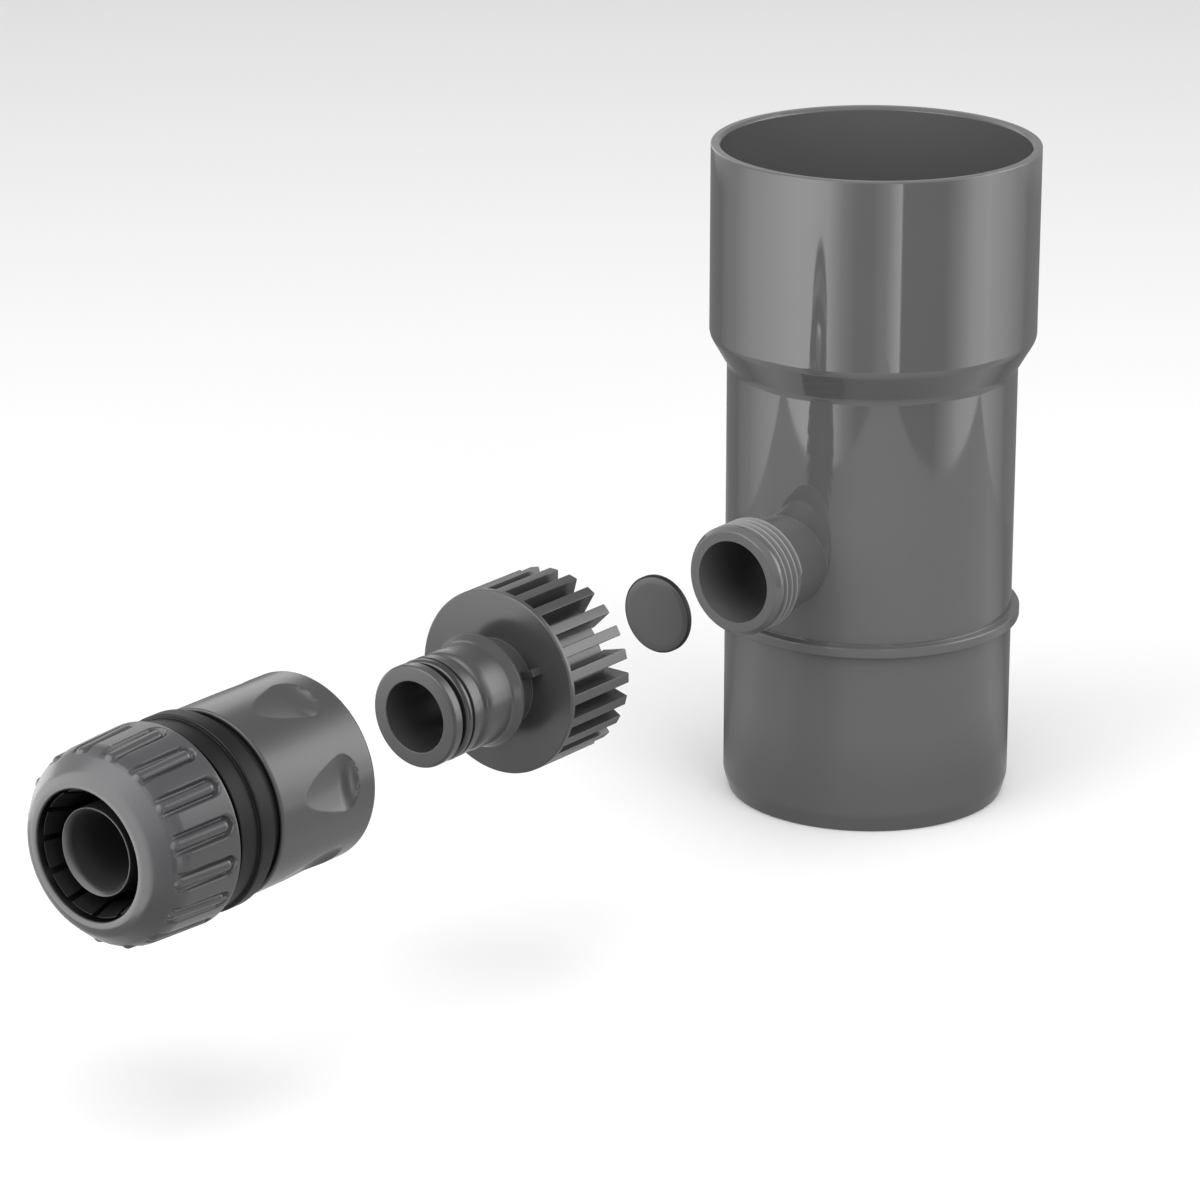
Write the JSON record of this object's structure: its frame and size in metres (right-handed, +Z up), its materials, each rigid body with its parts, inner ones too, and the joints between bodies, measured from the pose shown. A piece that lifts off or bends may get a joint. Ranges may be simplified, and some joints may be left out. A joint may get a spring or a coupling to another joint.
{
  "type": "rainwater diverter",
  "caption": "Round downpipe diverter with a catch trough and threaded side outlet, with its screw adapter, blanking disc and push-on hose connector drawn apart on one axis.",
  "frame": {"origin": "on the pipe's axis, at the lower end of the spigot", "axes": "+Z up along the pipe towards the socket; -Y along the outlet, adapter and connector; X across"},
  "size_m": [0.0966, 0.3851, 0.1993],
  "materials": {
    "body_plastic": "injection moulded PVC, glossy graphite grey",
    "disc_plastic": "moulded, fine satin grey",
    "adapter_plastic": "injection moulded, satin graphite grey",
    "connector_plastic": "injection moulded, satin grey",
    "black_plastic": "injection moulded, satin black",
    "claw_plastic": "moulded acetal, natural white",
    "spring_steel": "drawn stainless wire",
    "rubber": "moulded black rubber"
  },
  "bodies": {
    "pipe": {"diverter_body": "body_plastic"},
    "disc": {"blanking_disc": "disc_plastic", "disc_seal": "rubber"},
    "gasket": {"adapter_gasket": "rubber"},
    "adapter": {"outlet_adapter": "adapter_plastic"},
    "seal_ring": {"nipple_o_ring": "rubber"},
    "connector": {"connector_body": "black_plastic", "claw_ring": "claw_plastic", "collar_spring": "spring_steel", "tail_o_ring": "rubber", "hose_tail": "connector_plastic"},
    "collar": {"release_collar": "connector_plastic"},
    "collet": {"hose_collet": "black_plastic"},
    "nut": {"clamp_nut": "connector_plastic"}
  },
  "joints": [
    {"name": "adapter_travel", "type": "slide", "parent": "pipe", "child": "gasket", "axis": [0, 1, 0], "range_m": [0, 0.1021]},
    {"name": "disc_travel", "type": "slide", "parent": "pipe", "child": "disc", "axis": [0, 1, 0], "range_m": [0, 0.0342]},
    {"name": "adapter_turn", "type": "hinge", "parent": "gasket", "child": "adapter", "pos_m": [0, -0.1761, 0.0824], "axis": [0, -1, 0], "continuous": true},
    {"name": "connector_swivel", "type": "hinge", "parent": "adapter", "child": "seal_ring", "pos_m": [0, -0.2045, 0.0824], "axis": [0, -1, 0], "continuous": true},
    {"name": "connector_pull", "type": "slide", "parent": "seal_ring", "child": "connector", "axis": [0, 1, 0], "range_m": [0, 0.0722], "deforming": ["claw_ring"]},
    {"name": "collar_slide", "type": "slide", "parent": "connector", "child": "collar", "axis": [0, -1, 0], "range_m": [0, 0.0036], "stiffness_N_per_m": 1500, "springref_m": -0.004, "deforming": ["collar_spring"]},
    {"name": "collet_travel", "type": "slide", "parent": "connector", "child": "collet", "axis": [0, -1, 0], "range_m": [0, 0.0061]},
    {"name": "nut_turn", "type": "hinge", "parent": "collet", "child": "nut", "pos_m": [0, -0.3095, 0.0824], "axis": [0, -1, 0], "range_deg": [0, 720]}
  ],
  "couplings": [
    {"joint": "disc_travel", "follows": "adapter_travel", "ratio": 0.334},
    {"joint": "collet_travel", "follows": "nut_turn", "m_per_rad": 0.00047746}
  ]
}
